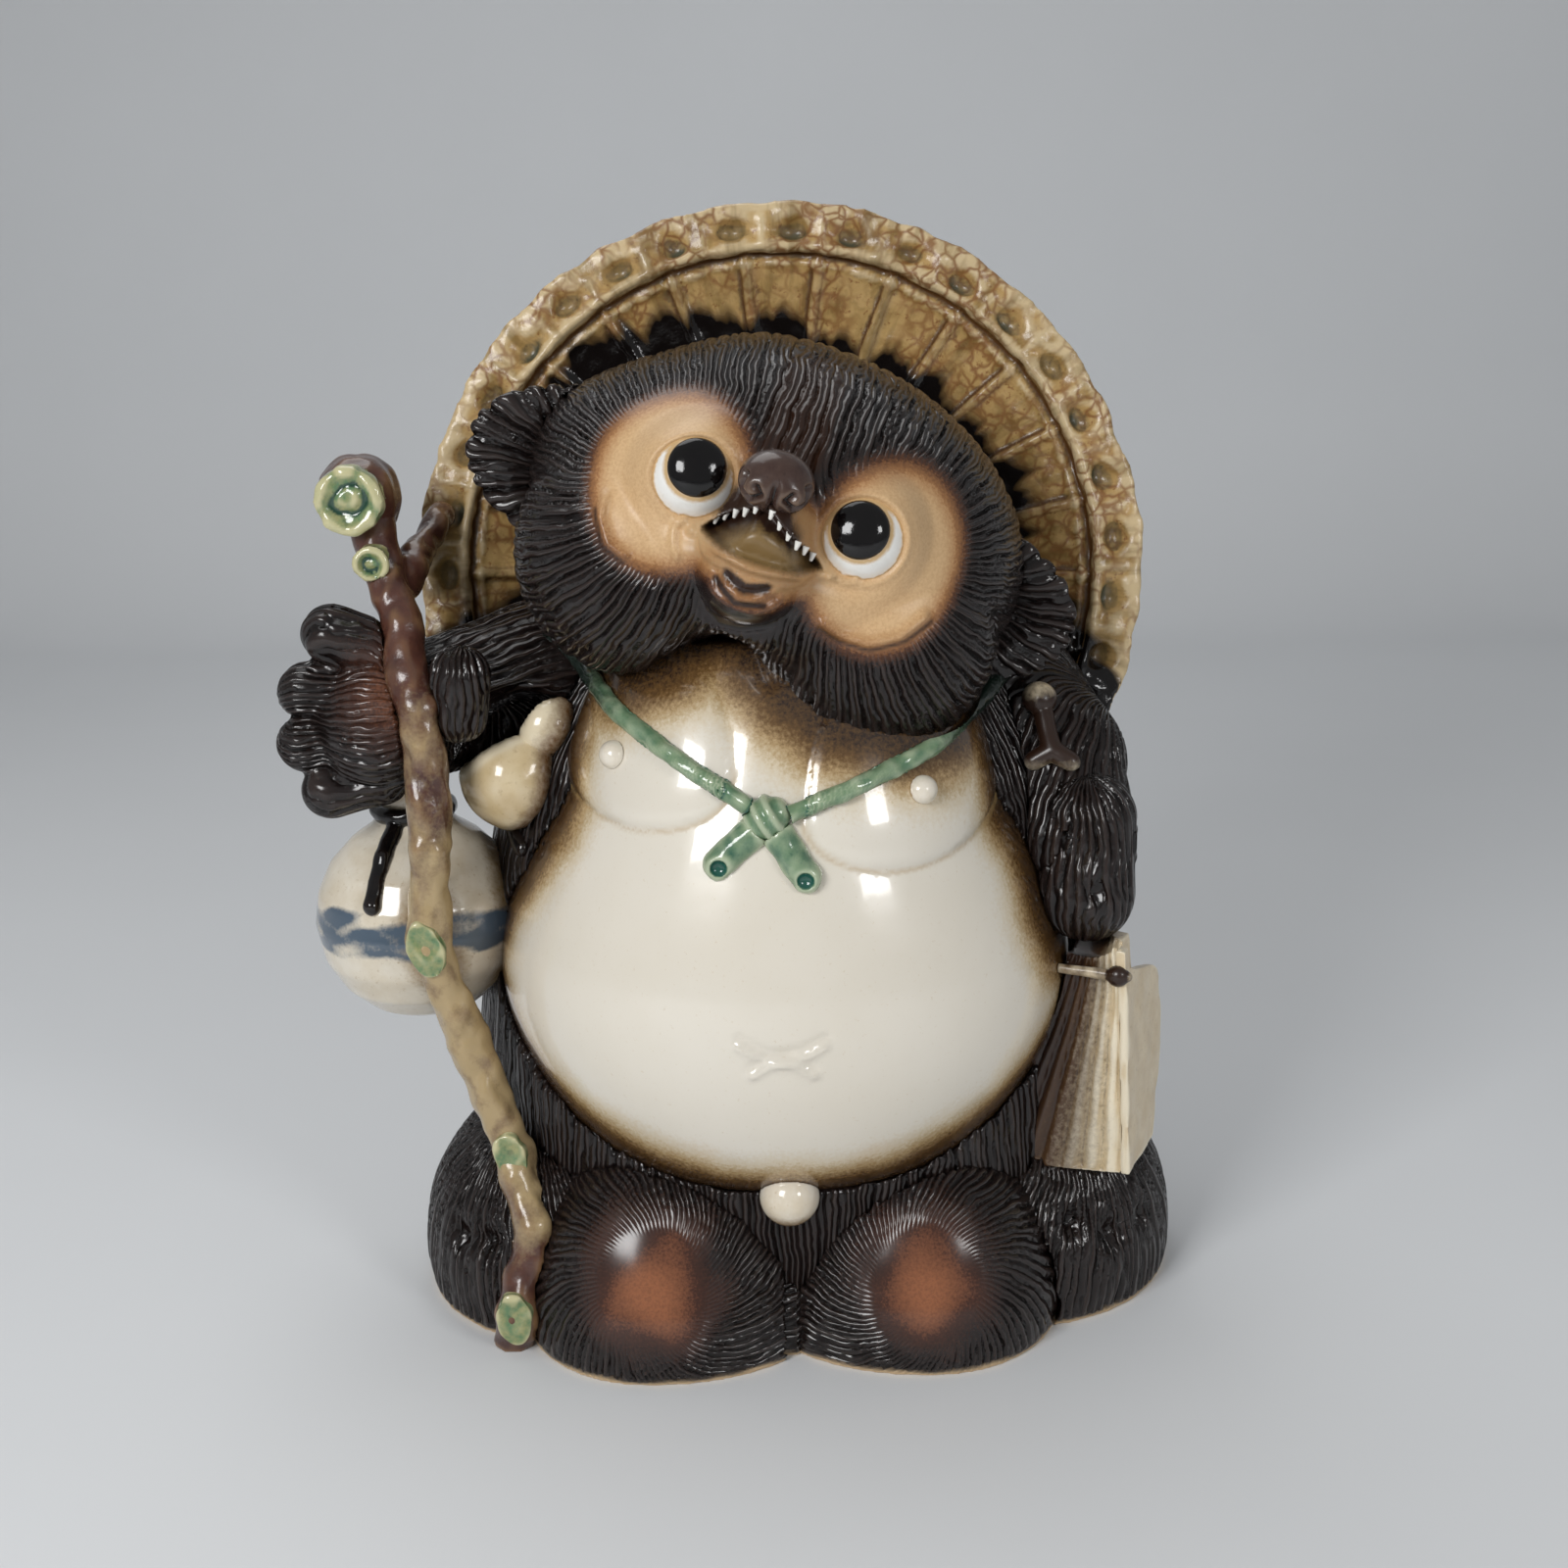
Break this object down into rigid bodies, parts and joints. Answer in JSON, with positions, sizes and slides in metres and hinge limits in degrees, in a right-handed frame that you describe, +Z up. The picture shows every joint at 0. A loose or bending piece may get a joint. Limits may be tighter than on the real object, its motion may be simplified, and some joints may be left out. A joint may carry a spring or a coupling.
{
  "type": "tanuki statue",
  "caption": "Standing glazed stoneware raccoon dog figure with a straw hat, staff, sake flask, gourd and account book, hollow and open at its foot, for display.",
  "frame": {"origin": "middle of the foot ring, on the surface that the figure stands on", "axes": "+Z up, -Y to the figure's front, +X to the figure's left"},
  "size_m": [0.2615, 0.1909, 0.3204],
  "materials": {
    "dark_fur_glaze": "satin brown-black glaze over combed clay",
    "cream_belly_glaze": "glossy cream glaze that breaks to amber",
    "ochre_straw_glaze": "satin ochre glaze with brown specks",
    "green_glaze": "glossy copper-green glaze",
    "white_glaze": "glossy white glaze",
    "flask_glaze": "glossy cream-white glaze with blue-grey brush bands",
    "black_glaze": "glossy black glaze",
    "amber_glaze": "glossy amber glaze",
    "staff_glaze": "satin red-brown glaze",
    "stub_glaze": "glossy yellow-green glaze",
    "gourd_glaze": "satin beige glaze",
    "paper_glaze": "satin beige glaze"
  },
  "bodies": {
    "root": {"body_shell": "dark_fur_glaze", "head_shell": "dark_fur_glaze", "left_ear": "dark_fur_glaze", "right_ear": "dark_fur_glaze", "upper_jaw": "dark_fur_glaze", "lower_jaw": "dark_fur_glaze", "right_arm": "dark_fur_glaze", "right_paw": "dark_fur_glaze", "right_thumb": "dark_fur_glaze", "left_arm": "dark_fur_glaze", "left_paw": "dark_fur_glaze", "left_foot": "dark_fur_glaze", "right_foot": "dark_fur_glaze", "left_bag": "dark_fur_glaze", "right_bag": "dark_fur_glaze", "tail": "dark_fur_glaze", "belly_shell": "cream_belly_glaze", "straw_hat": "ochre_straw_glaze", "chin_tie_left": "green_glaze", "chin_tie_right": "green_glaze", "tie_knot": "green_glaze", "tie_end_left": "green_glaze", "tie_end_right": "green_glaze", "left_eyeball": "white_glaze", "right_eyeball": "white_glaze", "upper_teeth": "white_glaze", "sake_flask": "flask_glaze", "left_pupil": "black_glaze", "right_pupil": "black_glaze", "nose": "black_glaze", "flask_cord": "black_glaze", "gourd_strap": "black_glaze", "left_stud": "amber_glaze", "right_stud": "amber_glaze", "bag_knob": "amber_glaze", "tongue": "amber_glaze", "staff": "staff_glaze", "staff_stubs": "stub_glaze", "gourd": "gourd_glaze", "ledger_pages": "paper_glaze", "ledger_cover": "paper_glaze", "ledger_string": "paper_glaze", "ledger_cord": "paper_glaze"}
  },
  "joints": []
}
